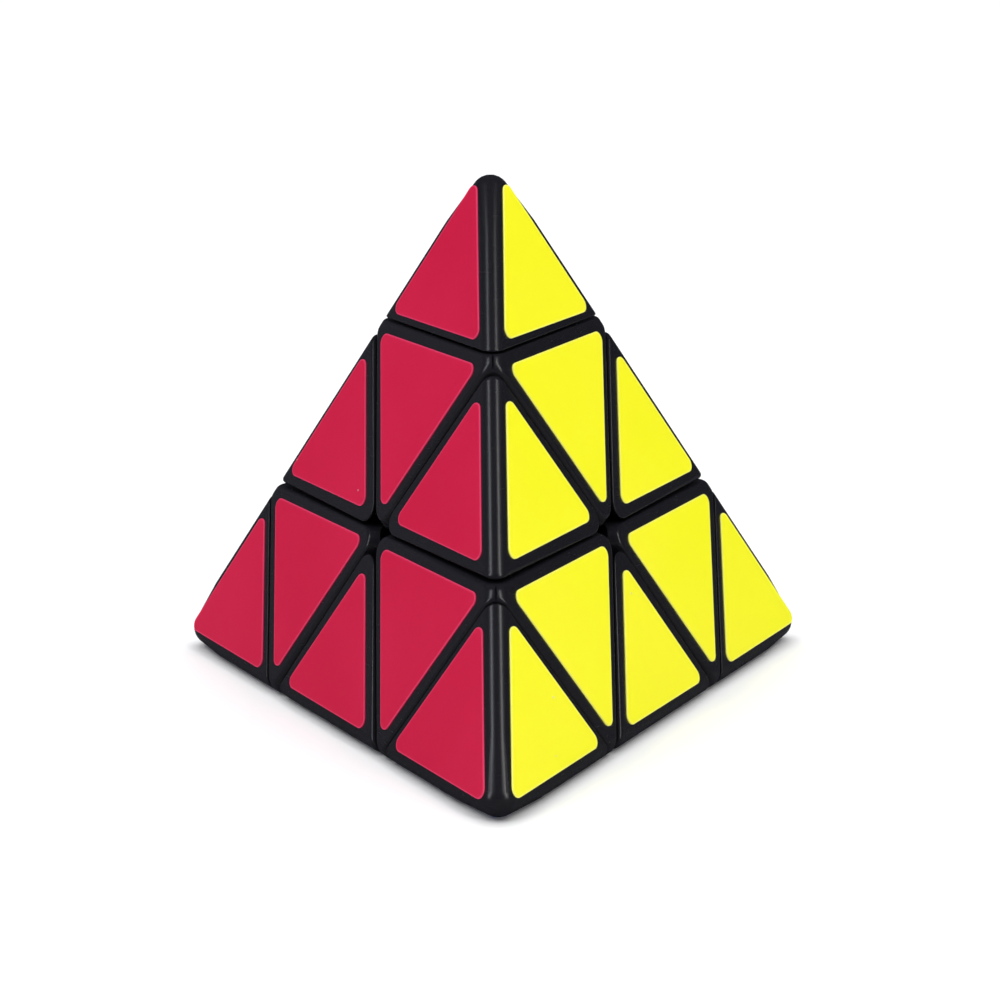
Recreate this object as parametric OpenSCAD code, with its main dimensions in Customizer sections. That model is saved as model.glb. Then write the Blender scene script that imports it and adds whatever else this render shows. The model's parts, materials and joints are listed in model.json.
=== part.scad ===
// Pyramid twisty puzzle: a regular tetrahedron cut into four tips, four centre
// pieces and six edge pieces that turn about four axes around a hidden core.
// Units are millimetres, +Z is up. The origin is under the apex, at the middle of
// the base, on the level that the base stickers rest on.

/* [Overall] */

// Edge length between the sharp corners, before they are rounded
edge_len = 106; // [70:0.5:160]
// Radius of the rounded bar along every outer edge
bar_r = 2.15; // [1:0.05:3]
// Radius of the ball at each of the four points
point_r = 2.85; // [1.5:0.05:4]

/* [Cuts between the pieces] */

// Gap between a tip and the centre piece it turns on
tip_gap = 0.3; // [0.2:0.02:0.6]
// Gap between two layers
layer_gap = 0.4; // [0.2:0.02:0.8]
// How far each layer cut lies outside the middle of a face, in the face's own plane
layer_shift = 0.31; // [0.1:0.01:0.8]
// Small round along every edge of a groove
groove_r = 0.35; // [0.1:0.05:0.6]
// Corner radius of the pieces round the small hole in the middle of a face
hub_r = 2.5; // [1:0.1:4]
// Round at the ends of an edge piece's bar
bar_end_r = 1; // [0.4:0.05:1.4]

/* [Stickers] */

// Thickness of a sticker
st_th = 0.2; // [0.1:0.05:0.5]
// Corner radius of a sticker
st_r = 1.25; // [0.5:0.05:2.5]
// Distance from the sharp outer edge to the sticker's side
st_edge = 3.13; // [2:0.01:5]
// Distance from a tip's cut to its own sticker
st_tip = 1.4; // [0.6:0.01:3]
// Distance from a tip's cut to the centre piece's sticker
st_under_tip = 2.04; // [0.6:0.01:4]
// Distance from the middle of a layer cut to the centre piece's sticker
st_centre = 1.87; // [0.6:0.01:4]
// Distance from the middle of a layer cut to the edge piece's sticker
st_side = 2.28; // [0.6:0.01:4]

/* [Mechanism, as shares of the edge length] */

// Radius of the core's ball
ball_share = 0.1066; // [0.085:0.0005:0.13]
// Thickness of the edge pieces' feet
foot_share = 0.0295; // [0.02:0.0005:0.04]
// Radius of the collar that joins a centre piece to its arm
collar_share = 0.064; // [0.05:0.0005:0.078]
// Radius of the core's arms
arm_share = 0.034; // [0.025:0.0005:0.042]
// Length of the core's arms, from the core's middle
arm_len_share = 0.16; // [0.13:0.001:0.19]
// Length of the springs
spring_share = 0.047; // [0.035:0.001:0.057]
// Half length of the fin that holds an edge piece's cap, along the outer edge
fin_share = 0.0613; // [0.045:0.0001:0.074]
// Height of the fin's top over the core's middle
fin_top_share = 0.217; // [0.18:0.001:0.26]

/* [Mechanism] */

// Clearance on radius between the feet and what they slide on
foot_clear = 0.25; // [0.15:0.01:0.5]
// How far round each axis the feet reach, in degrees
foot_angle = 68.9; // [56:0.1:69.5]
// Clearance on radius between an arm and its centre piece
arm_clear = 0.1; // [0.04:0.01:0.3]
// Clearance on radius between a tip's stem and the chamber it turns in
stem_clear = 0.1; // [0.04:0.01:0.3]
// Radius of the axle screws' shanks
shank_r = 1.5; // [1:0.05:2]
// Radius of the screw heads
screw_head_r = 2.9; // [2:0.05:3.4]
// Radius of the spring wire
wire_r = 0.35; // [0.2:0.05:0.5]
// Turns of each spring
turns = 4; // [3:1:7]
// Wall of the hollow tips and centre pieces
wall = 2.2; // [1.2:0.1:3]

/* [Hidden] */

names = ["t", "f", "l", "r"];
face_name = ["blue", "green", "yellow", "red"];
face_rgb = [[0.04, 0.24, 0.72], [0, 0.52, 0.24], [0.98, 0.98, 0.14], [0.8, 0.12, 0.28]];
plastic = [0.1, 0.1, 0.12];
steel = [0.75, 0.76, 0.78];

// The four axes: top, front, left, right
axes = [
    [0, 0, 1],
    [0, -sqrt(8) / 3, -1 / 3],
    [-sqrt(2 / 3), sqrt(2) / 3, -1 / 3],
    [sqrt(2 / 3), sqrt(2) / 3, -1 / 3]
];
edges = [[0, 1], [0, 2], [0, 3], [1, 2], [1, 3], [2, 3]];

in_r = edge_len / (2 * sqrt(6));
face_in_r = edge_len / (2 * sqrt(3));
slant = sqrt(8) / 3;
tip_d = 5 * in_r / 3;
layer_d = in_r / 3 + slant * layer_shift;
core_z = in_r + st_th;

ball_r = ball_share * edge_len;
foot_in = ball_r + foot_clear;
foot_out = foot_in + foot_share * edge_len;
foot_cut = foot_out * cos(foot_angle);
shell_in = foot_out + foot_clear;
collar_r = collar_share * edge_len;
arm_r = arm_share * edge_len;
arm_top = arm_len_share * edge_len;
arm_low = ball_r - 2;
screw_low = arm_top - 9;
web_low = arm_top + 0.2;
web_top = web_low + 2;
web_hole_r = shank_r + 0.2;
washer_r = screw_head_r + 0.2;
washer_hole_r = shank_r + 0.15;
washer_low = web_top + 0.05;
washer_top = washer_low + 0.4;
head_low = washer_top + spring_share * edge_len;
head_top = head_low + 2.2;
head_bevel = 0.5;
slot_len = 3.2;
slot_w = 0.7;
slot_depth = 1.2;
spring_r = (shank_r + screw_head_r) / 2 + 0.05;
collar_low = 0.6 * ball_r;
collar_in = ball_r + 0.2;
chamber_r = screw_head_r + 1.3;
boss_r = chamber_r + 1.8;
boss_top = tip_d - 1;
stem_r = chamber_r - stem_clear;
stem_low = head_top + 0.15 * (tip_d - head_top);
stem_top = 3 * (in_r - wall) - 2 * stem_r;
mouth_r = stem_r + 2.1 * wall;
bead = 0.25;
bead_low = tip_d - 4.4;
bead_mid = bead_low + 0.5;
bead_top = bead_mid + 0.4;
bead_play = 0.2;
point_low = 3 * in_r - 13;
fin_half = fin_share * edge_len;
fin_top = fin_top_share * edge_len;
fin_play = 0.05;

// How far a cutting shape runs past the surface it cuts
past = 1;

function edge_name(e) = str(names[edges[e][0]], names[edges[e][1]]);
function others(k) = [for (i = [0:3]) if (i != k) i];
function others2(i, j) = [for (k = [0:3]) if (k != i && k != j) k];
function unit(v) = v / norm(v);
// A plane is [normal, distance]; this is the point that three planes share
function meet(a, b, c) =
    (a[1] * cross(b[0], c[0]) + b[1] * cross(c[0], a[0]) + c[1] * cross(a[0], b[0]))
    / (a[0] * cross(b[0], c[0]));
function inset(p, d) = [p[0], p[1] - d];
function slerp(a, b, t) =
    let (w = acos(a * b)) (sin((1 - t) * w) * a + sin(t * w) * b) / sin(w);
// Points of the round of radius rad between planes a and b, where plane s cuts it
function arc(a, b, s, rad, base_rad, steps) =
    let (
        c = meet(inset(a, base_rad), inset(b, base_rad), s),
        u = cross(a[0], b[0])
    )
    [
        for (i = [0:steps])
            let (m = slerp(a[0], b[0], i / steps))
            c + rad * m - rad * (s[0] * m) / (s[0] * u) * u
    ];
// The same round with its end edge rounded too, by q
function soft_arc(a, b, s, rad, q, steps) = concat(
    arc(a, b, inset(s, q), rad, rad, steps),
    arc(a, b, inset(s, 0.29 * q), rad - 0.29 * q, rad, steps),
    arc(a, b, s, rad - q, rad, steps)
);
// Ball patch between three planes
function ball_patch(a, b, c, rad, steps) =
    let (o = meet(inset(a, rad), inset(b, rad), inset(c, rad)))
    [
        for (i = [0:steps]) for (j = [0:steps - i])
            o + rad * unit(i * a[0] + j * b[0] + (steps - i - j) * c[0])
    ];

// Every corner of the solid inside a set of planes
function corners(p) =
    let (n = len(p) - 1)
    [
        for (i = [0:n]) for (j = [i + 1:1:n]) for (k = [j + 1:1:n])
            if (abs(p[i][0] * cross(p[j][0], p[k][0])) > 0.01)
                let (m = meet(p[i], p[j], p[k]))
                if (max([for (q = p) q[0] * m - q[1]]) < 0.001) m
    ];

function face(k) = [-axes[k], in_r];
function over(k, d) = [-axes[k], -d];
function under(k, d) = [axes[k], d];

module wrap(pts) {
    n = len(pts);
    hull() polyhedron(pts, [for (i = [0:3:n - 1]) [i, min(i + 1, n - 2), min(i + 2, n - 1)]]);
}

module at_core() {
    translate([0, 0, core_z]) children();
}

// Turn +Z to axis k, with the local X and Y the same for every piece of that axis
module along(k) {
    z = axes[k];
    x = unit(cross(k == 0 ? [0, 1, 0] : [0, 0, 1], z));
    y = cross(z, x);
    multmatrix([
        [x[0], y[0], z[0], 0],
        [x[1], y[1], z[1], 0],
        [x[2], y[2], z[2], 0],
        [0, 0, 0, 1]
    ])
        children();
}

module rod(rad, low, high) {
    translate([0, 0, low]) cylinder(r = rad, h = high - low, $fn = 96);
}

module cone(low_r, high_r, low, high) {
    translate([0, 0, low]) cylinder(r1 = low_r, r2 = high_r, h = high - low, $fn = 96);
}

// Core: a ball with four arms, each bored for its axle screw
module core() {
    color(plastic) at_core() difference() {
        union() {
            sphere(r = ball_r, $fn = 96);
            for (k = [0:3]) along(k) rod(arm_r, arm_low, arm_top);
        }
        for (k = [0:3]) along(k) rod(shank_r, screw_low, arm_top + past);
    }
}

// Four pan head screws that hold the centre pieces on the arms
module axle_screws() {
    color(steel) at_core() for (k = [0:3]) along(k) difference() {
        union() {
            rod(shank_r, screw_low, head_low + head_bevel);
            cone(screw_head_r, screw_head_r - head_bevel, head_low, head_top);
        }
        for (a = [0, 90]) rotate([0, 0, a])
            translate([-slot_len / 2, -slot_w / 2, head_top - slot_depth])
                cube([slot_len, slot_w, slot_depth + past]);
    }
}

module washer_ring() {
    difference() {
        rod(washer_r, washer_low, washer_top);
        rod(washer_hole_r, washer_low - past, washer_top + past);
    }
}

// Four flat washers between the springs and the centre pieces
module axle_washers() {
    color(steel) at_core() for (k = [0:3]) along(k) washer_ring();
}

// One coil spring along +Z, wire swept as a closed tube that just clears both ends
module coil(low, high, mean_r) {
    sides = 6;
    per_turn = 12;
    wire = 0.999 * wire_r;
    n = turns * per_turn;
    rise = high - low - 2 * wire_r;
    tilt = atan2(rise / turns, 2 * PI * mean_r);
    pts = [
        for (i = [0:n]) for (j = [0:sides - 1])
            let (
                a = 360 * i / per_turn,
                b = 360 * j / sides,
                out = [cos(a), sin(a), 0],
                up = [sin(a) * sin(tilt), -cos(a) * sin(tilt), cos(tilt)],
                mid = mean_r * out + [0, 0, low + wire_r + rise * i / n]
            )
            mid + wire * (cos(b) * out + sin(b) * up)
    ];
    side_faces = [
        for (i = [0:n - 1]) for (j = [0:sides - 1])
            let (k = (j + 1) % sides)
            [i * sides + j, i * sides + k, (i + 1) * sides + k, (i + 1) * sides + j]
    ];
    polyhedron(pts, concat(
        side_faces,
        [[for (j = [0:sides - 1]) sides - 1 - j]],
        [[for (j = [0:sides - 1]) n * sides + j]]
    ));
}

// Four springs under the screw heads, which press the centre pieces on the core
module axle_springs() {
    color(steel) at_core() for (k = [0:3]) along(k)
        coil(washer_top, head_low, spring_r);
}

// Outer shape of a tip: three rounded bars that meet in a ball
module tip_shape(k) {
    cut = over(k, tip_d + tip_gap / 2);
    o = others(k);
    high = [axes[k], point_low];
    wrap(concat(
        ball_patch(face(o[0]), face(o[1]), face(o[2]), point_r, 6),
        [
            for (i = [0:2])
                let (a = face(o[i]), b = face(o[(i + 1) % 3]))
                each concat(
                    soft_arc(a, b, cut, bar_r, groove_r, 6),
                    arc(a, b, high, bar_r, bar_r, 6)
                )
        ]
    ));
}

// Hollow of a tip. It opens inside the circle that the centre piece covers at any angle
module tip_hollow(k) {
    o = others(k);
    intersection() {
        wrap(corners([
            inset(face(o[0]), wall),
            inset(face(o[1]), wall),
            inset(face(o[2]), wall),
            over(k, tip_d - past)
        ]));
        along(k) rod(mouth_r, tip_d - 2 * past, 3 * in_r);
    }
}

// Tip: a hollow shell with a stem that turns in the centre piece's chamber
module tip(k) {
    color(plastic) at_core() union() {
        difference() {
            tip_shape(k);
            tip_hollow(k);
        }
        along(k) {
            rod(stem_r, stem_low, stem_top);
            cone(stem_r, stem_r + bead, bead_low, bead_mid);
            rod(stem_r + bead, bead_mid, bead_top);
        }
    }
}

// Outer shape of a centre piece: an octahedron with three short bars
module centre_shape(k) {
    top = under(k, tip_d - tip_gap / 2);
    low = over(k, layer_d + layer_gap / 2);
    o = others(k);
    wrap([
        for (i = [0:2])
            let (
                p = o[i],
                s = o[(i + 1) % 3],
                t = o[(i + 2) % 3],
                side_p = under(p, layer_d - layer_gap / 2),
                side_s = under(s, layer_d - layer_gap / 2)
            )
            each concat(
                soft_arc(face(s), face(t), top, bar_r, groove_r, 6),
                soft_arc(face(s), face(t), side_p, bar_r, 2 * groove_r, 6),
                soft_arc(side_p, side_s, face(t), hub_r, groove_r, 5),
                arc(side_p, side_s, low, hub_r, hub_r, 5)
            )
    ]);
}

// Hollow of a centre piece, inside its walls and open towards the core
module centre_hollow(k) {
    o = others(k);
    wrap(corners(concat(
        [inset(under(k, tip_d), wall), inset(over(k, layer_d), wall)],
        [for (i = o) inset(under(i, layer_d), wall)],
        [for (i = o) inset(face(i), wall)]
    )));
}

// Centre piece: hollow shell, collar that rides on the ball, web and chamber
module centre(k) {
    color(plastic) at_core() difference() {
        union() {
            difference() {
                centre_shape(k);
                sphere(r = shell_in, $fn = 96);
                centre_hollow(k);
            }
            along(k) {
                rod(collar_r, collar_low, web_top);
                rod(boss_r, web_top - past, boss_top);
            }
        }
        sphere(r = collar_in, $fn = 96);
        along(k) {
            rod(arm_r + arm_clear, 0, web_low);
            rod(web_hole_r, web_low - past, web_top + past);
            rod(chamber_r, web_top, tip_d + past);
            rod(stem_r + bead + bead_play, bead_low - bead_play, bead_top + bead_play);
        }
    }
}

// Outer shape of an edge piece's cap
module cap_shape(e) {
    i = edges[e][0];
    j = edges[e][1];
    o = others2(i, j);
    a = face(o[0]);
    b = face(o[1]);
    s1 = over(i, layer_d + layer_gap / 2);
    s2 = over(j, layer_d + layer_gap / 2);
    wrap(concat(
        soft_arc(a, b, s1, bar_r, bar_end_r, 6),
        soft_arc(a, b, s2, bar_r, bar_end_r, 6),
        soft_arc(s1, s2, a, hub_r, groove_r, 5),
        soft_arc(s1, s2, b, hub_r, groove_r, 5)
    ));
}

// Turn +Z to the middle of edge e, with local X across the fin
module mid_edge(e) {
    i = edges[e][0];
    j = edges[e][1];
    z = unit(axes[i] + axes[j]);
    x = unit(axes[i] - axes[j]);
    y = cross(z, x);
    multmatrix([
        [x[0], y[0], z[0], 0],
        [x[1], y[1], z[1], 0],
        [x[2], y[2], z[2], 0],
        [0, 0, 0, 1]
    ])
        children();
}

// Edge piece's cap, slotted for the foot's fin
module edge_cap(e) {
    color(plastic) at_core() difference() {
        cap_shape(e);
        sphere(r = shell_in, $fn = 96);
        mid_edge(e) translate([-fin_top, -fin_half - fin_play, 0])
            cube([2 * fin_top, 2 * (fin_half + fin_play), fin_top]);
    }
}

// Wedge between the two planes that bound an edge piece, its line at height low
module wedge(low, high, half_len) {
    half = (high - low) / sqrt(2);
    translate([0, half_len, 0]) rotate([90, 0, 0])
        linear_extrude(2 * half_len)
            polygon([[0, low], [half, high], [-half, high]]);
}

// Edge piece's foot: a fin that fills the cap's slot, on a lens that slides
// between the core's ball and the centre pieces' shells
module edge_foot(e) {
    color(plastic) at_core() mid_edge(e) difference() {
        union() {
            wedge((layer_d + layer_gap / 2) * sqrt(3), fin_top, fin_half);
            intersection() {
                sphere(r = foot_out, $fn = 96);
                wedge(foot_cut * sqrt(3), foot_out + past, foot_out);
            }
        }
        sphere(r = foot_in, $fn = 96);
    }
}

// A sticker on face k, a rounded triangle bounded by three planes
module sticker(k, planes) {
    z = -axes[k];
    x = unit(cross(k == 0 ? [0, 1, 0] : [0, 0, 1], z));
    y = cross(z, x);
    f = face(k);
    corners = [for (i = [0:2]) meet(planes[i], planes[(i + 1) % 3], f)];
    flat = [for (p = corners) [p * x, p * y]];
    color(face_rgb[k]) at_core()
        multmatrix([
            [x[0], y[0], z[0], in_r * z[0]],
            [x[1], y[1], z[1], in_r * z[1]],
            [x[2], y[2], z[2], in_r * z[2]],
            [0, 0, 0, 1]
        ])
            linear_extrude(st_th)
                offset(r = st_r, $fn = 40) offset(delta = -st_r) polygon(flat);
}

// Height along an axis of a line in a face, s from the face's middle
function lift(s) = in_r / 3 + slant * s;

module tip_sticker(k, p) {
    o = [for (i = others(k)) if (i != p) i];
    rim = lift(-face_in_r + st_edge);
    sticker(k, [over(p, lift(face_in_r + st_tip)), over(o[0], rim), over(o[1], rim)]);
}

module centre_sticker(k, p) {
    o = [for (i = others(k)) if (i != p) i];
    side = lift(layer_shift - st_centre);
    sticker(k, [under(p, lift(face_in_r - st_under_tip)), under(o[0], side), under(o[1], side)]);
}

module edge_sticker(k, e) {
    i = edges[e][0];
    j = edges[e][1];
    o = [for (m = others(k)) if (m != i && m != j) m];
    side = lift(layer_shift + st_side);
    sticker(k, [over(o[0], lift(-face_in_r + st_edge)), over(i, side), over(j, side)]);
}

function face_edges(k) = [for (e = [0:5]) if (edges[e][0] != k && edges[e][1] != k) e];

function sticker_node(k, piece, place) = str("sticker_", face_name[k], "_", piece, "_", place);

core();
axle_screws();
axle_washers();
axle_springs();
for (k = [0:3]) {
    tip(k);
    centre(k);
    for (p = others(k)) {
        tip_sticker(k, p);
        centre_sticker(k, p);
    }
    for (e = face_edges(k)) {
        edge_sticker(k, e);
    }
}
for (e = [0:5]) {
    edge_cap(e);
    edge_foot(e);
}
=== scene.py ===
import json
import math
import random

import bmesh
import bpy
import numpy as np
from mathutils import Matrix, Vector


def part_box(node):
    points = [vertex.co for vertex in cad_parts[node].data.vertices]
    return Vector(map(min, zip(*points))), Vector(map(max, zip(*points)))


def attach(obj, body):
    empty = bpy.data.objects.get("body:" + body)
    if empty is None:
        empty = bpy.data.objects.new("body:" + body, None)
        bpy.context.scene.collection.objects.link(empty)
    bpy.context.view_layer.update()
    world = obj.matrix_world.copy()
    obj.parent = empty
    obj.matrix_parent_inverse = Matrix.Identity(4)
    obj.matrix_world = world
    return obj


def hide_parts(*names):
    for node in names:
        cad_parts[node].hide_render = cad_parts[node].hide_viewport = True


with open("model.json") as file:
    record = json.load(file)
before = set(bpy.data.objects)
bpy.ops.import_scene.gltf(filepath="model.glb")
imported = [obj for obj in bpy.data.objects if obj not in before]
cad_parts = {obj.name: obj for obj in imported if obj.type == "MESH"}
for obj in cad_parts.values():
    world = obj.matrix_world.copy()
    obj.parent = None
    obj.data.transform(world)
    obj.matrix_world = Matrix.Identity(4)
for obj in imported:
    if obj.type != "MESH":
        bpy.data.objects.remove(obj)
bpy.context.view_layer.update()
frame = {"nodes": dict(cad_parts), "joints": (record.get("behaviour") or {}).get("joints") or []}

# ---------------------------------------------------------------- sizes, in mm
MM = 0.001

BAR_R = 2.15          # rounded bar along every outer edge
POINT_R = 2.85        # ball at the four points
TIP_GAP = 0.3
LAYER_GAP = 0.4
LAYER_SHIFT = 0.31    # layer cut outside the middle of a face, in the face's plane
GROOVE_R = 0.35       # round along the grooves
HUB_R = 2.5           # corners round the small hole in the middle of a face
BAR_END_R = 1.0       # ends of an edge piece's bar
SEAM_W = 0.34         # seam along a centre piece's short bars
SEAM_DEPTH = 0.3

STICKER_R = 1.25
STICKER_BEVEL = 0.07
STICKER_EDGE = 3.13       # from the sharp outer edge
STICKER_TIP = 1.4         # from a tip's cut to its own sticker
STICKER_UNDER_TIP = 2.04  # from a tip's cut to the centre piece's sticker
STICKER_CENTRE = 1.87     # from a layer cut to the centre piece's sticker
STICKER_SIDE = 2.28       # from a layer cut to the edge piece's sticker
RIM_W = 0.22              # lighter cut edge of the vinyl

WALL = 2.2

SHARP_ANGLE = 32      # degrees; a sharper fold stays an edge in the shading
NORMAL_WEIGHT = 80
HAND_SHIFT = 0.1      # how far off a sticker is laid by hand
HAND_TURN = 0.35      # and how far it is turned, in degrees

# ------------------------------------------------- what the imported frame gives
layer_joints = [j for j in frame["joints"] if j["name"].startswith("layer_")]
CORE = np.array(layer_joints[0]["pos_m"]) / MM
AXES = {j["child"][-1]: np.array(j["axis"]) for j in layer_joints}
FACES = {"blue": "t", "green": "f", "yellow": "l", "red": "r"}  # colour: opposite point
EDGES = ["tf", "tl", "tr", "fl", "fr", "lr"]

STICKER_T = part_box("sticker_blue_tip_f")[1].z / MM
IN_R = CORE[2] - STICKER_T            # from the core's middle to each face
EDGE_LEN = IN_R * 2 * math.sqrt(6)
FACE_IN_R = EDGE_LEN / (2 * math.sqrt(3))
SLANT = math.sqrt(8) / 3
TIP_D = 5 * IN_R / 3
LAYER_D = IN_R / 3 + SLANT * LAYER_SHIFT

# Mechanism, as in the CAD source
BALL_R = 0.1066 * EDGE_LEN
FOOT_OUT = BALL_R + 0.25 + 0.0295 * EDGE_LEN
SHELL_IN = FOOT_OUT + 0.25
COLLAR_R = 0.064 * EDGE_LEN
ARM_R = 0.034 * EDGE_LEN
WEB_LOW = 0.16 * EDGE_LEN + 0.2
WEB_TOP = WEB_LOW + 2
HEAD_TOP = WEB_TOP + 0.45 + 0.047 * EDGE_LEN + 2.2
CHAMBER_R = 4.2
STEM_R = CHAMBER_R - 0.1
FIN_HALF = 0.0613 * EDGE_LEN
FIN_TOP = 0.217 * EDGE_LEN

rng = random.Random(7)


# -------------------------------------------------------- planes and round edges
def unit(v):
    return v / np.linalg.norm(v)


def face(k):
    """A plane is (normal, distance); this is the outer face opposite point k."""
    return (-AXES[k], IN_R)


def over(k, d):
    return (-AXES[k], -d)


def under(k, d):
    return (AXES[k], d)


def inset(plane, d):
    return (plane[0], plane[1] - d)


def meet(a, b, c):
    """The point that three planes share."""
    return np.linalg.solve(np.array([a[0], b[0], c[0]]), np.array([a[1], b[1], c[1]]))


def slerp(a, b, t):
    w = math.acos(np.clip(a @ b, -1, 1))
    return (math.sin((1 - t) * w) * a + math.sin(t * w) * b) / math.sin(w)


def arc(a, b, s, rad, base_rad, steps):
    """The round of radius rad between planes a and b, where plane s cuts it."""
    c = meet(inset(a, base_rad), inset(b, base_rad), s)
    u = np.cross(a[0], b[0])
    points = []
    for i in range(steps + 1):
        m = slerp(a[0], b[0], i / steps)
        points.append(c + rad * m - rad * (s[0] @ m) / (s[0] @ u) * u)
    return points


def soft_arc(a, b, s, rad, q, steps, levels=5):
    """The same round with its end edge rounded too, by q."""
    points = []
    for i in range(levels + 1):
        w = math.pi / 2 * i / levels
        depth, loss = q * (1 - math.sin(w)), q * (1 - math.cos(w))
        points += arc(a, b, inset(s, depth), rad - loss, rad, steps)
    return points


def ball_patch(a, b, c, rad, steps):
    o = meet(inset(a, rad), inset(b, rad), inset(c, rad))
    return [
        o + rad * unit(i * a[0] + j * b[0] + (steps - i - j) * c[0])
        for i in range(steps + 1)
        for j in range(steps + 1 - i)
    ]


def corners(planes):
    """Every corner of the solid inside a set of planes."""
    found = []
    n = len(planes)
    for i in range(n):
        for j in range(i + 1, n):
            for k in range(j + 1, n):
                p, q, r = planes[i], planes[j], planes[k]
                if abs(p[0] @ np.cross(q[0], r[0])) < 0.01:
                    continue
                m = meet(p, q, r)
                if max(s[0] @ m - s[1] for s in planes) < 0.001:
                    found.append(m)
    return found


# ------------------------------------------------------------------ mesh making
def hull(points):
    """Convex solid round the points, its flat stretches joined into single faces."""
    bm = bmesh.new()
    for p in points:
        bm.verts.new(p)
    bmesh.ops.remove_doubles(bm, verts=bm.verts, dist=0.002)
    made = bmesh.ops.convex_hull(bm, input=bm.verts)
    spare = {g for key in ("geom_interior", "geom_unused") for g in made[key]}
    spare = [g for g in spare if isinstance(g, bmesh.types.BMVert)]
    bmesh.ops.delete(bm, geom=spare, context="VERTS")
    bmesh.ops.dissolve_limit(
        bm, angle_limit=math.radians(0.2), verts=bm.verts, edges=bm.edges
    )
    mesh = bpy.data.meshes.new("hull")
    bm.to_mesh(mesh)
    bm.free()
    return mesh


def along(k):
    """Rotation that takes +Z to axis k."""
    return Vector((0, 0, 1)).rotation_difference(Vector(AXES[k])).to_matrix().to_4x4()


def rod(k, rad, low, high, top_rad=None, sides=96):
    bm = bmesh.new()
    bmesh.ops.create_cone(
        bm,
        cap_ends=True,
        segments=sides,
        radius1=rad,
        radius2=rad if top_rad is None else top_rad,
        depth=high - low,
        matrix=along(k) @ Matrix.Translation((0, 0, (low + high) / 2)),
    )
    mesh = bpy.data.meshes.new("rod")
    bm.to_mesh(mesh)
    bm.free()
    return mesh


def ball(rad):
    bm = bmesh.new()
    bmesh.ops.create_uvsphere(bm, u_segments=96, v_segments=48, radius=rad)
    mesh = bpy.data.meshes.new("ball")
    bm.to_mesh(mesh)
    bm.free()
    return mesh


def combine(mesh, *steps):
    """The mesh after each (operation, mesh) boolean step, as a new mesh."""
    whole = bpy.data.objects.new("whole", mesh)
    bpy.context.scene.collection.objects.link(whole)
    tools = []
    for operation, tool_mesh in steps:
        tool = bpy.data.objects.new("tool", tool_mesh)
        bpy.context.scene.collection.objects.link(tool)
        tools.append(tool)
        cut = whole.modifiers.new(operation, "BOOLEAN")
        cut.operation = operation
        cut.solver = "EXACT"
        cut.object = tool
    bpy.context.view_layer.update()
    shown = whole.evaluated_get(bpy.context.evaluated_depsgraph_get())
    result = bpy.data.meshes.new_from_object(shown)
    for o in [whole, *tools]:
        bpy.data.objects.remove(o)
    return result


def turn_to(*names):
    """Rotation of the tetrahedron that takes its first points to the named ones."""
    rest = [k for k in "tflr" if k not in names]
    start = np.array([AXES[k] for k in "tfl"]).T
    for order in (rest, rest[::-1]):
        goal = np.array([AXES[k] for k in [*names, *order][:3]]).T
        m = goal @ np.linalg.inv(start)
        if np.linalg.det(m) > 0:
            return Matrix(m.tolist()).to_4x4()


def to_world(turn=Matrix.Identity(4)):
    return Matrix.Translation(Vector(CORE * MM)) @ Matrix.Scale(MM, 4) @ turn


def mark_depth(mesh):
    """Note how far each point lies below the nearest face, in mm, for the shade painted deep in
    the gaps.
    """
    spots = np.array([v.co for v in mesh.vertices])
    ways = np.array([AXES[k] for k in "tflr"])
    below = IN_R + (spots @ ways.T).min(axis=1)
    mesh.attributes.new("depth", "FLOAT", "POINT").data.foreach_set("value", below)


def place(name, mesh, turn, body, node, material):
    """A finished piece: turned to its place, smooth, riding on its body."""
    data = mesh.copy()
    data.name = name
    data.transform(to_world(turn))
    data.materials.clear()
    data.materials.append(material)
    data.shade_smooth()
    data.set_sharp_from_angle(angle=math.radians(SHARP_ANGLE))
    piece = bpy.data.objects.new(name, data)
    bpy.context.scene.collection.objects.link(piece)
    normals = piece.modifiers.new("normals", "WEIGHTED_NORMAL")
    normals.keep_sharp = True
    normals.weight = NORMAL_WEIGHT
    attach(piece, body)
    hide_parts(node)
    return piece


# ----------------------------------------------------------------- plastic shells
def tip_mesh():
    """Tip at point t: three rounded bars that meet in a ball, hollow, with its stem."""
    o = ["f", "l", "r"]
    cut = over("t", TIP_D + TIP_GAP / 2)
    high = ((AXES["t"]), 3 * IN_R - 13)
    points = ball_patch(face(o[0]), face(o[1]), face(o[2]), POINT_R, 14)
    for i in range(3):
        a, b = face(o[i]), face(o[(i + 1) % 3])
        points += soft_arc(a, b, cut, BAR_R, GROOVE_R, 14)
        points += arc(a, b, high, BAR_R, BAR_R, 14)
    hollow = hull(
        corners([inset(face(k), WALL) for k in o] + [over("t", TIP_D - 1)])
    )
    mouth = rod("t", STEM_R + 2.1 * WALL, TIP_D - 2, 3 * IN_R)
    stem_low = HEAD_TOP + 0.15 * (TIP_D - HEAD_TOP)
    stem = rod("t", STEM_R, stem_low, 3 * (IN_R - WALL) - 2 * STEM_R)
    inside = combine(hollow, ("INTERSECT", mouth))
    return combine(hull(points), ("DIFFERENCE", inside), ("UNION", stem))


def seam_wedge(a, b, low, high):
    """Thin wedge along the bar between faces a and b, from plane low to plane high."""
    out = unit(a[0] + b[0])
    side = unit(a[0] - b[0])
    ends = []
    for s in (low, high):
        c = meet(inset(a, BAR_R), inset(b, BAR_R), s)
        top = c + (BAR_R + SEAM_W) * out
        deep = c + (BAR_R - SEAM_DEPTH) * out
        ends += [deep, top + SEAM_W * side, top - SEAM_W * side]
    return hull(ends)


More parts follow.
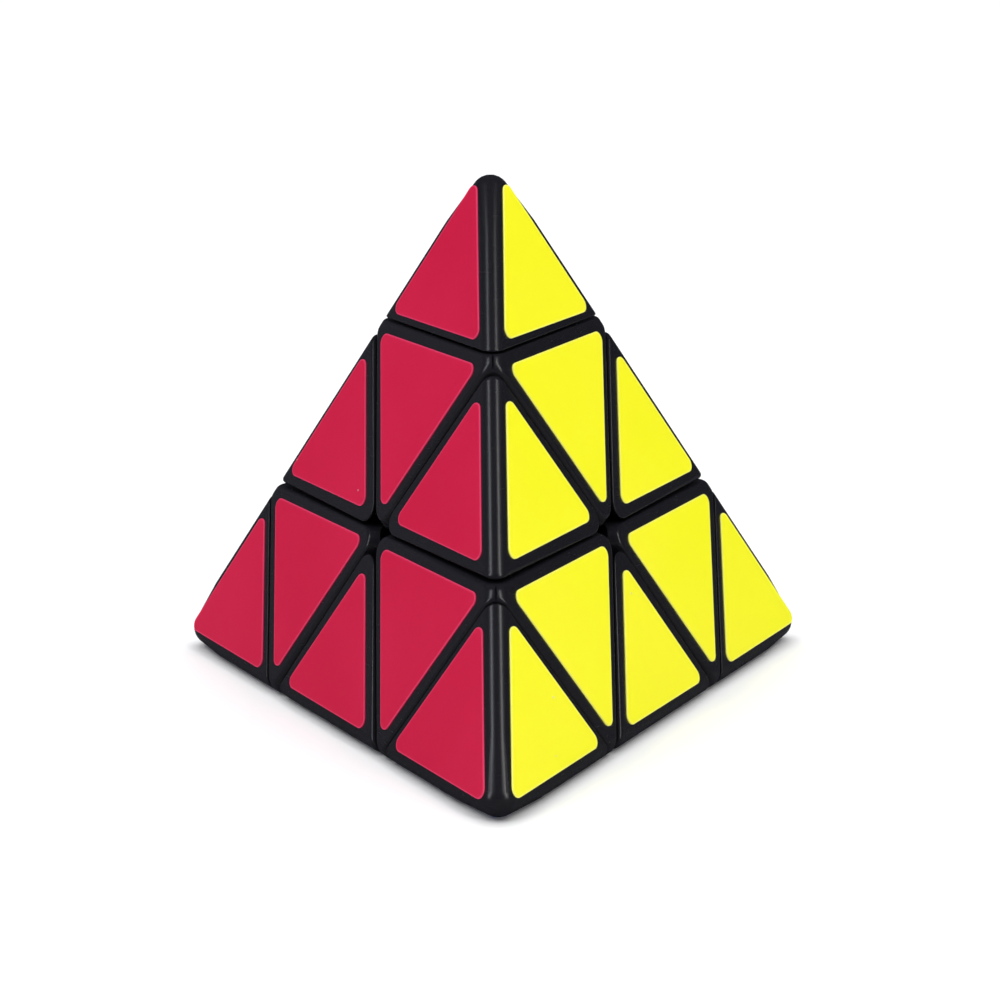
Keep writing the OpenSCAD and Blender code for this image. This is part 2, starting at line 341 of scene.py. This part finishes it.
def centre_mesh():
    """Centre piece at point t: octahedral shell, collar on the ball, web and chamber."""
    o = ["f", "l", "r"]
    top = under("t", TIP_D - TIP_GAP / 2)
    low = over("t", LAYER_D + LAYER_GAP / 2)
    points = []
    seams = []
    for i in range(3):
        p, s, t = o[i], o[(i + 1) % 3], o[(i + 2) % 3]
        side_p = under(p, LAYER_D - LAYER_GAP / 2)
        side_s = under(s, LAYER_D - LAYER_GAP / 2)
        points += soft_arc(face(s), face(t), top, BAR_R, GROOVE_R, 14)
        points += soft_arc(face(s), face(t), side_p, BAR_R, 2 * GROOVE_R, 14)
        points += soft_arc(side_p, side_s, face(t), HUB_R, GROOVE_R, 12)
        points += arc(side_p, side_s, low, HUB_R, HUB_R, 12)
        seams.append(
            seam_wedge(face(s), face(t), inset(top, -0.5), inset(side_p, -0.5))
        )
    hollow = hull(
        corners(
            [inset(under("t", TIP_D), WALL), inset(over("t", LAYER_D), WALL)]
            + [inset(under(k, LAYER_D), WALL) for k in o]
            + [inset(face(k), WALL) for k in o]
        )
    )
    collar = rod("t", COLLAR_R, 0.6 * BALL_R, WEB_TOP)
    boss = rod("t", CHAMBER_R + 1.8, WEB_TOP - 1, TIP_D - 1)
    return combine(
        hull(points),
        ("DIFFERENCE", ball(SHELL_IN)),
        ("DIFFERENCE", hollow),
        ("UNION", collar),
        ("UNION", boss),
        ("DIFFERENCE", ball(BALL_R + 0.2)),
        ("DIFFERENCE", rod("t", ARM_R + 0.1, 0, WEB_LOW)),
        ("DIFFERENCE", rod("t", 1.7, WEB_LOW - 1, WEB_TOP + 1)),
        ("DIFFERENCE", rod("t", CHAMBER_R, WEB_TOP, TIP_D + 1)),
        *[("DIFFERENCE", s) for s in seams],
    )


def cap_mesh():
    """Cap of the edge piece between points t and f, slotted for the foot's fin."""
    a, b = face("l"), face("r")
    s1 = over("t", LAYER_D + LAYER_GAP / 2)
    s2 = over("f", LAYER_D + LAYER_GAP / 2)
    points = (
        soft_arc(a, b, s1, BAR_R, BAR_END_R, 16, 7)
        + soft_arc(a, b, s2, BAR_R, BAR_END_R, 16, 7)
        + soft_arc(s1, s2, a, HUB_R, GROOVE_R, 12)
        + soft_arc(s1, s2, b, HUB_R, GROOVE_R, 12)
    )
    z = unit(AXES["t"] + AXES["f"])
    x = unit(AXES["t"] - AXES["f"])
    y = np.cross(z, x)
    half = FIN_HALF + 0.05
    slot = hull(
        [
            FIN_TOP * h * z + FIN_TOP * i * x + half * j * y
            for h in (0, 1)
            for i in (-1, 1)
            for j in (-1, 1)
        ]
    )
    return combine(
        hull(points), ("DIFFERENCE", ball(SHELL_IN)), ("DIFFERENCE", slot)
    )


# ----------------------------------------------------------------------- stickers
def lift(s):
    """Height along an axis of a line in a face, s from the face's middle."""
    return IN_R / 3 + SLANT * s


def rounded_outline(points, rad, grow, steps=10):
    """Outline of a triangle with round corners, moved outwards by grow."""
    outline = []
    middle = sum(points) / 3
    for i in range(3):
        before, here, after = points[i - 1], points[i], points[(i + 1) % 3]
        u, v = unit(before - here), unit(after - here)
        half = math.acos(np.clip(u @ v, -1, 1)) / 2
        c = here + unit(u + v) * rad / math.sin(half)
        n1, n2 = np.array([-u[1], u[0]]), np.array([-v[1], v[0]])
        n1 = n1 if n1 @ (here - middle) > 0 else -n1
        n2 = n2 if n2 @ (here - middle) > 0 else -n2
        outline += [c + (rad + grow) * slerp(n1, n2, j / steps) for j in range(steps + 1)]
    return outline


def sticker_mesh(k, planes, shift, turn):
    """Vinyl cut to a round-cornered triangle, laid on face k by hand."""
    z = -AXES[k]
    x = unit(np.cross([0, 1, 0] if k == "t" else [0, 0, 1], z))
    y = np.cross(z, x)
    f = face(k)
    flat = []
    for i in range(3):
        m = meet(planes[i], planes[(i + 1) % 3], f)
        flat.append(np.array([m @ x, m @ y]))
    middle = sum(flat) / 3
    c, s = math.cos(turn), math.sin(turn)
    flat = [middle + shift + np.array([[c, -s], [s, c]]) @ (p - middle) for p in flat]
    rings = [(0, 0.0, 1.0), (0, STICKER_T - STICKER_BEVEL, 1.0)]
    for i in (1, 2, 3):
        w = math.pi / 2 * i / 3
        rings.append(
            (
                -STICKER_BEVEL * (1 - math.cos(w)),
                STICKER_T - STICKER_BEVEL * (1 - math.sin(w)),
                1.0,
            )
        )
    rings.append((-STICKER_BEVEL - RIM_W / 2, STICKER_T, 0.6))
    rings.append((-STICKER_BEVEL - RIM_W, STICKER_T, 0.0))
    bm = bmesh.new()
    rim = bm.verts.layers.float.new("rim")
    loops = []
    for grow, height, edge in rings:
        loop = []
        for p in rounded_outline(flat, STICKER_R, grow):
            v = bm.verts.new(p[0] * x + p[1] * y + (IN_R + height) * z)
            v[rim] = edge
            loop.append(v)
        loops.append(loop)
    n = len(loops[0])
    for low, high in zip(loops, loops[1:]):
        for i in range(n):
            j = (i + 1) % n
            bm.faces.new((low[i], low[j], high[j], high[i]))
    bm.faces.new(loops[-1])
    bm.faces.new(loops[0][::-1])
    bmesh.ops.recalc_face_normals(bm, faces=bm.faces)
    mesh = bpy.data.meshes.new("sticker")
    bm.to_mesh(mesh)
    bm.free()
    return mesh


def sticker_planes(kind, k, place_name):
    """The three planes that bound the sticker of this kind on face k."""
    if kind == "edge":
        other = [m for m in "tflr" if m != k and m not in place_name]
        side = lift(LAYER_SHIFT + STICKER_SIDE)
        rim = lift(-FACE_IN_R + STICKER_EDGE)
        return [over(other[0], rim)] + [over(m, side) for m in place_name]
    other = [m for m in "tflr" if m not in (k, place_name)]
    if kind == "tip":
        rim = lift(-FACE_IN_R + STICKER_EDGE)
        top = lift(FACE_IN_R + STICKER_TIP)
        return [over(place_name, top)] + [over(m, rim) for m in other]
    side = lift(LAYER_SHIFT - STICKER_CENTRE)
    top = lift(FACE_IN_R - STICKER_UNDER_TIP)
    return [under(place_name, top)] + [under(m, side) for m in other]


# ---------------------------------------------------------------------- materials
RECESS_FROM = 2.0     # mm below a face where the painted shade starts to darken the plastic
RECESS_TO = 3.6       # and where the painted shade is darkest
# Colour of the painted shade deep in the gaps
PAINTED_SHADE_COLOUR = (0.0014, 0.0012, 0.0016, 1)


def new_material(name):
    material = bpy.data.materials.new(name)
    material.use_nodes = True
    tree = material.node_tree
    shader = tree.nodes["Principled BSDF"]
    return material, tree, shader


def node(tree, kind, inputs=(), **settings):
    made = tree.nodes.new("ShaderNode" + kind)
    for key, value in settings.items():
        setattr(made, key, value)
    for key, value in dict(inputs).items():
        if isinstance(value, bpy.types.NodeSocket):
            tree.links.new(value, made.inputs[key])
        else:
            made.inputs[key].default_value = value
    return made


def noise(tree, coords, scale, detail=2.0, rough=0.5):
    return node(
        tree,
        "TexNoise",
        {"Vector": coords, "Scale": scale, "Detail": detail, "Roughness": rough},
    ).outputs["Fac"]


def remap(tree, value, low, high, to_low=0.0, to_high=1.0):
    return node(
        tree,
        "MapRange",
        {
            "Value": value,
            "From Min": low,
            "From Max": high,
            "To Min": to_low,
            "To Max": to_high,
        },
        clamp=True,
    ).outputs["Result"]


def mix(tree, factor, a, b):
    made = node(tree, "Mix", data_type="RGBA")
    for socket, value in ((0, factor), (6, a), (7, b)):
        if isinstance(value, bpy.types.NodeSocket):
            tree.links.new(value, made.inputs[socket])
        else:
            made.inputs[socket].default_value = value
    return made.outputs[2]


def bump(tree, height, strength, distance, below=None):
    made = node(tree, "Bump", {"Height": height, "Strength": strength, "Distance": distance})
    if below is not None:
        tree.links.new(below, made.inputs["Normal"])
    return made.outputs["Normal"]


def black_plastic(name, low, high):
    """Satin moulded ABS: near black, a fine spark texture, and painted shade that darkens it
    deep in the gaps.
    """
    material, tree, shader = new_material(name)
    coords = node(tree, "TexCoord").outputs["Object"]
    cloud = noise(tree, coords, 70, 3)
    grain = noise(tree, coords, 5200, 2)
    scuff_coords = node(
        tree, "Mapping", {"Vector": coords, "Rotation": (0.4, 0.9, 0.3), "Scale": (1, 1, 9)}
    ).outputs["Vector"]
    scuffs = remap(tree, noise(tree, scuff_coords, 420, 4, 0.7), 0.62, 0.74)
    colour = mix(tree, cloud, low, high)
    colour = mix(tree, scuffs, colour, (0.014, 0.014, 0.017, 1))
    # Painted shade: the colour darkens with depth below the faces, deep in the gaps
    depth = node(tree, "Attribute", attribute_name="depth").outputs["Fac"]
    painted_shade_mask = remap(tree, depth, RECESS_FROM, RECESS_TO)
    colour = mix(tree, painted_shade_mask, colour, PAINTED_SHADE_COLOUR)
    tree.links.new(colour, shader.inputs["Base Color"])
    gloss = remap(tree, cloud, 0.3, 0.7, 0.25, 0.34)
    worn = node(
        tree, "Math", {0: gloss, 1: scuffs}, operation="ADD", use_clamp=True
    ).outputs["Value"]
    gloss = remap(tree, worn, 0.0, 2.4, 0.0, 0.9)
    rough = node(tree, "Math", {0: gloss, 1: 0.26}, operation="MAXIMUM").outputs["Value"]
    tree.links.new(rough, shader.inputs["Roughness"])
    shader.inputs["IOR"].default_value = 1.5
    fine = bump(tree, grain, 0.10, 0.00004)
    tree.links.new(bump(tree, cloud, 0.10, 0.0002, fine), shader.inputs["Normal"])
    return material


def vinyl(name, colour, shade, rim_colour):
    """Semi-gloss vinyl: orange peel, slight tone drift, a lighter cut edge, dust."""
    material, tree, shader = new_material(name)
    coords = node(tree, "TexCoord").outputs["Object"]
    drift = noise(tree, coords, 38, 3)
    peel = noise(tree, coords, 1500, 2)
    fibre_coords = node(
        tree, "Mapping", {"Vector": coords, "Scale": (1, 1, 0.12)}
    ).outputs["Vector"]
    fibre = noise(tree, fibre_coords, 900, 3)
    base = mix(tree, remap(tree, drift, 0.35, 0.65), colour, shade)
    dust = node(
        tree, "TexVoronoi", {"Vector": coords, "Scale": 260, "Randomness": 1.0}
    ).outputs["Distance"]
    specks = remap(tree, dust, 0.035, 0.05, 1.0, 0.0)
    rare = remap(tree, noise(tree, coords, 90, 1), 0.60, 0.66)
    specks = node(tree, "Math", {0: specks, 1: rare}, operation="MULTIPLY").outputs["Value"]
    base = mix(tree, specks, base, (0.75, 0.72, 0.7, 1))
    rim = node(tree, "Attribute", attribute_name="rim").outputs["Fac"]
    base = mix(tree, remap(tree, rim, 0.0, 1.0, 0.0, 0.75), base, rim_colour)
    tree.links.new(base, shader.inputs["Base Color"])
    tree.links.new(remap(tree, drift, 0.3, 0.7, 0.34, 0.42), shader.inputs["Roughness"])
    shader.inputs["IOR"].default_value = 1.42
    fine = bump(tree, peel, 0.12, 0.00006)
    tree.links.new(bump(tree, fibre, 0.05, 0.00006, fine), shader.inputs["Normal"])
    return material


def steel(name, colour, rough):
    """Drawn or plated steel: fine brushing and a little tarnish."""
    material, tree, shader = new_material(name)
    coords = node(tree, "TexCoord").outputs["Object"]
    lines = node(
        tree, "Mapping", {"Vector": coords, "Scale": (1, 1, 14)}
    ).outputs["Vector"]
    brush = noise(tree, lines, 1400, 3)
    stain = noise(tree, coords, 300, 3)
    dark = tuple(0.72 * c for c in colour[:3]) + (1,)
    tree.links.new(
        mix(tree, remap(tree, stain, 0.4, 0.7), colour, dark), shader.inputs["Base Color"]
    )
    tree.links.new(
        remap(tree, brush, 0.3, 0.7, rough - 0.06, rough + 0.08), shader.inputs["Roughness"]
    )
    shader.inputs["Metallic"].default_value = 1.0
    tree.links.new(bump(tree, brush, 0.15, 0.00003), shader.inputs["Normal"])
    return material


def floor_material():
    material, tree, shader = new_material("floor")
    coords = node(tree, "TexCoord").outputs["Object"]
    tone = remap(tree, noise(tree, coords, 3, 2), 0.3, 0.7)
    pale = mix(tree, tone, (0.93, 0.93, 0.93, 1), (0.95, 0.95, 0.95, 1))
    # Painted dark reflection: for glossy rays the floor turns dark, so the plastic mirrors a dim
    # floor
    mirrored = node(tree, "LightPath").outputs["Is Glossy Ray"]
    tree.links.new(
        mix(tree, mirrored, pale, (0.08, 0.08, 0.09, 1)), shader.inputs["Base Color"]
    )
    shader.inputs["Roughness"].default_value = 0.9
    shader.inputs["Specular IOR Level"].default_value = 0.1
    return material


BLACK = black_plastic(
    "black_plastic", (0.0075, 0.0075, 0.0105, 1), (0.011, 0.0108, 0.0135, 1)
)
# A darker copy of the black plastic for the inner parts: painted shade for the inside of the
# puzzle
CORE_SHADED_BLACK = black_plastic(
    "core_plastic_painted_shade", (0.0014, 0.0012, 0.0016, 1), (0.0022, 0.002, 0.0024, 1)
)
VINYL = {
    "red": vinyl(
        "sticker_red", (0.60, 0.004, 0.048, 1), (0.63, 0.006, 0.056, 1), (0.80, 0.05, 0.15, 1)
    ),
    "yellow": vinyl(
        "sticker_yellow", (0.98, 0.97, 0.012, 1), (1.0, 0.96, 0.02, 1), (1.0, 0.98, 0.22, 1)
    ),
    "green": vinyl(
        "sticker_green", (0.008, 0.30, 0.06, 1), (0.010, 0.34, 0.07, 1), (0.05, 0.45, 0.16, 1)
    ),
    "blue": vinyl(
        "sticker_blue", (0.008, 0.06, 0.46, 1), (0.01, 0.075, 0.5, 1), (0.05, 0.16, 0.62, 1)
    ),
}
SCREW_STEEL = steel("screw_steel", (0.56, 0.57, 0.58, 1), 0.28)
SPRING_STEEL = steel("spring_steel", (0.50, 0.50, 0.50, 1), 0.22)

# ------------------------------------------------------------------------- pieces
tip = tip_mesh()
centre = centre_mesh()
cap = cap_mesh()
# Depth below the faces, which the black plastic uses for its painted shade
for shell in (tip, centre, cap):
    mark_depth(shell)

for k in "tflr":
    place(f"tip_{k}_shell", tip, turn_to(k), f"tip_{k}", f"tip_{k}", BLACK)
    place(
        f"centre_{k}_shell", centre, turn_to(k), f"centre_{k}", f"centre_{k}",
        BLACK,
    )
for e in EDGES:
    place(
        f"edge_{e}_cap", cap, turn_to(*e), f"edge_{e}", f"edge_cap_{e}",
        BLACK,
    )

SET_BACK = {("blue", "tip", "f"): (0, 0.6)}  # stickers laid off their usual place, mm

for colour, k in FACES.items():
    points = [m for m in "tflr" if m != k]
    spots = [("tip", m) for m in points] + [("centre", m) for m in points]
    spots += [("edge", e) for e in EDGES if k not in e]
    for kind, spot in spots:
        shift = np.array(
            [rng.uniform(-HAND_SHIFT, HAND_SHIFT), rng.uniform(-HAND_SHIFT, HAND_SHIFT)]
        )
        turn = math.radians(rng.uniform(-HAND_TURN, HAND_TURN))
        shift += SET_BACK.get((colour, kind, spot), (0, 0))
        mesh = sticker_mesh(k, sticker_planes(kind, k, spot), shift, turn)
        place(
            f"vinyl_{colour}_{kind}_{spot}", mesh, Matrix.Identity(4), f"{kind}_{spot}",
            f"sticker_{colour}_{kind}_{spot}", VINYL[colour],
        )

for name, o in frame["nodes"].items():
    if o.hide_render:
        continue
    # Inner parts take the darker copy of the black plastic: painted shade
    material = CORE_SHADED_BLACK
    if name.startswith("axle_"):
        material = SPRING_STEEL if name == "axle_springs" else SCREW_STEEL
    o.data.materials.clear()
    o.data.materials.append(material)

# ----------------------------------------------------------------- camera and light
CAMERA_AZIMUTH = -0.385      # degrees round from the front edge
CAMERA_ELEVATION = 16.06
CAMERA_DISTANCE = 455.4      # mm from the core's middle
CAMERA_AIM = np.array([1.07, 2.48, 8.61])  # what it points at, from the core's middle
CAMERA_ROLL = -0.484
CAMERA_LENS = 106.9          # on a 36 mm sensor


def spot_round(azimuth, elevation, distance):
    """A place round the core, in metres; azimuth 0 is in front, positive to the right."""
    a, e = math.radians(azimuth), math.radians(elevation)
    way = Vector((math.sin(a) * math.cos(e), -math.cos(a) * math.cos(e), math.sin(e)))
    return Vector(CORE * MM) + way * distance * MM


def make_camera():
    data = bpy.data.cameras.new("camera")
    data.lens = CAMERA_LENS
    data.sensor_width = 36
    data.clip_start, data.clip_end = 0.01, 20
    camera = bpy.data.objects.new("camera", data)
    bpy.context.scene.collection.objects.link(camera)
    camera.location = spot_round(CAMERA_AZIMUTH, CAMERA_ELEVATION, CAMERA_DISTANCE)
    aim = Vector((CORE + CAMERA_AIM) * MM) - camera.location
    turn = aim.to_track_quat("-Z", "Y").to_matrix()
    roll = Matrix.Rotation(math.radians(CAMERA_ROLL), 3, "Z")
    camera.rotation_euler = (turn @ roll).to_euler()
    bpy.context.scene.camera = camera
    return camera


def softbox(name, azimuth, elevation, distance, width, height, power, colour):
    data = bpy.data.lights.new(name, "AREA")
    data.shape = "RECTANGLE"
    data.size, data.size_y = width, height
    data.energy = power
    data.color = colour
    light = bpy.data.objects.new(name, data)
    bpy.context.scene.collection.objects.link(light)
    light.location = spot_round(azimuth, elevation, distance)
    aim = Vector(CORE * MM) - light.location
    light.rotation_euler = aim.to_track_quat("-Z", "Y").to_euler()
    return light


def make_floor():
    bm = bmesh.new()
    bmesh.ops.create_grid(bm, x_segments=8, y_segments=8, size=4)
    mesh = bpy.data.meshes.new("floor")
    bm.to_mesh(mesh)
    bm.free()
    floor = bpy.data.objects.new("floor", mesh)
    bpy.context.scene.collection.objects.link(floor)
    floor.data.materials.append(floor_material())
    return floor


def make_world():
    """White to the camera, dim for what the plastic mirrors."""
    world = bpy.data.worlds.new("studio")
    bpy.context.scene.world = world
    world.use_nodes = True
    tree = world.node_tree
    back = tree.nodes["Background"]
    seen = node(tree, "LightPath").outputs["Is Camera Ray"]
    tree.links.new(
        mix(tree, seen, (0.03, 0.032, 0.042, 1), (1, 1, 1, 1)), back.inputs["Color"]
    )
    back.inputs["Strength"].default_value = 1.0


make_camera()
make_floor()
make_world()
softbox("key_left", -50, 28, 900, 0.16, 0.9, 2.2, (0.93, 0.95, 1.0))
softbox("card_left", -117, 7, 1300, 2.0, 1.0, 0.6, (0.86, 0.84, 1.0))
softbox("key_right", 44, 28, 900, 0.16, 0.9, 2.4, (1.0, 0.99, 0.98))
overhead = softbox("overhead", 180, 78, 2000, 4.4, 4.4, 110, (1.0, 1.0, 1.0))
overhead.visible_glossy = False
bpy.context.scene.view_settings.view_transform = "Standard"
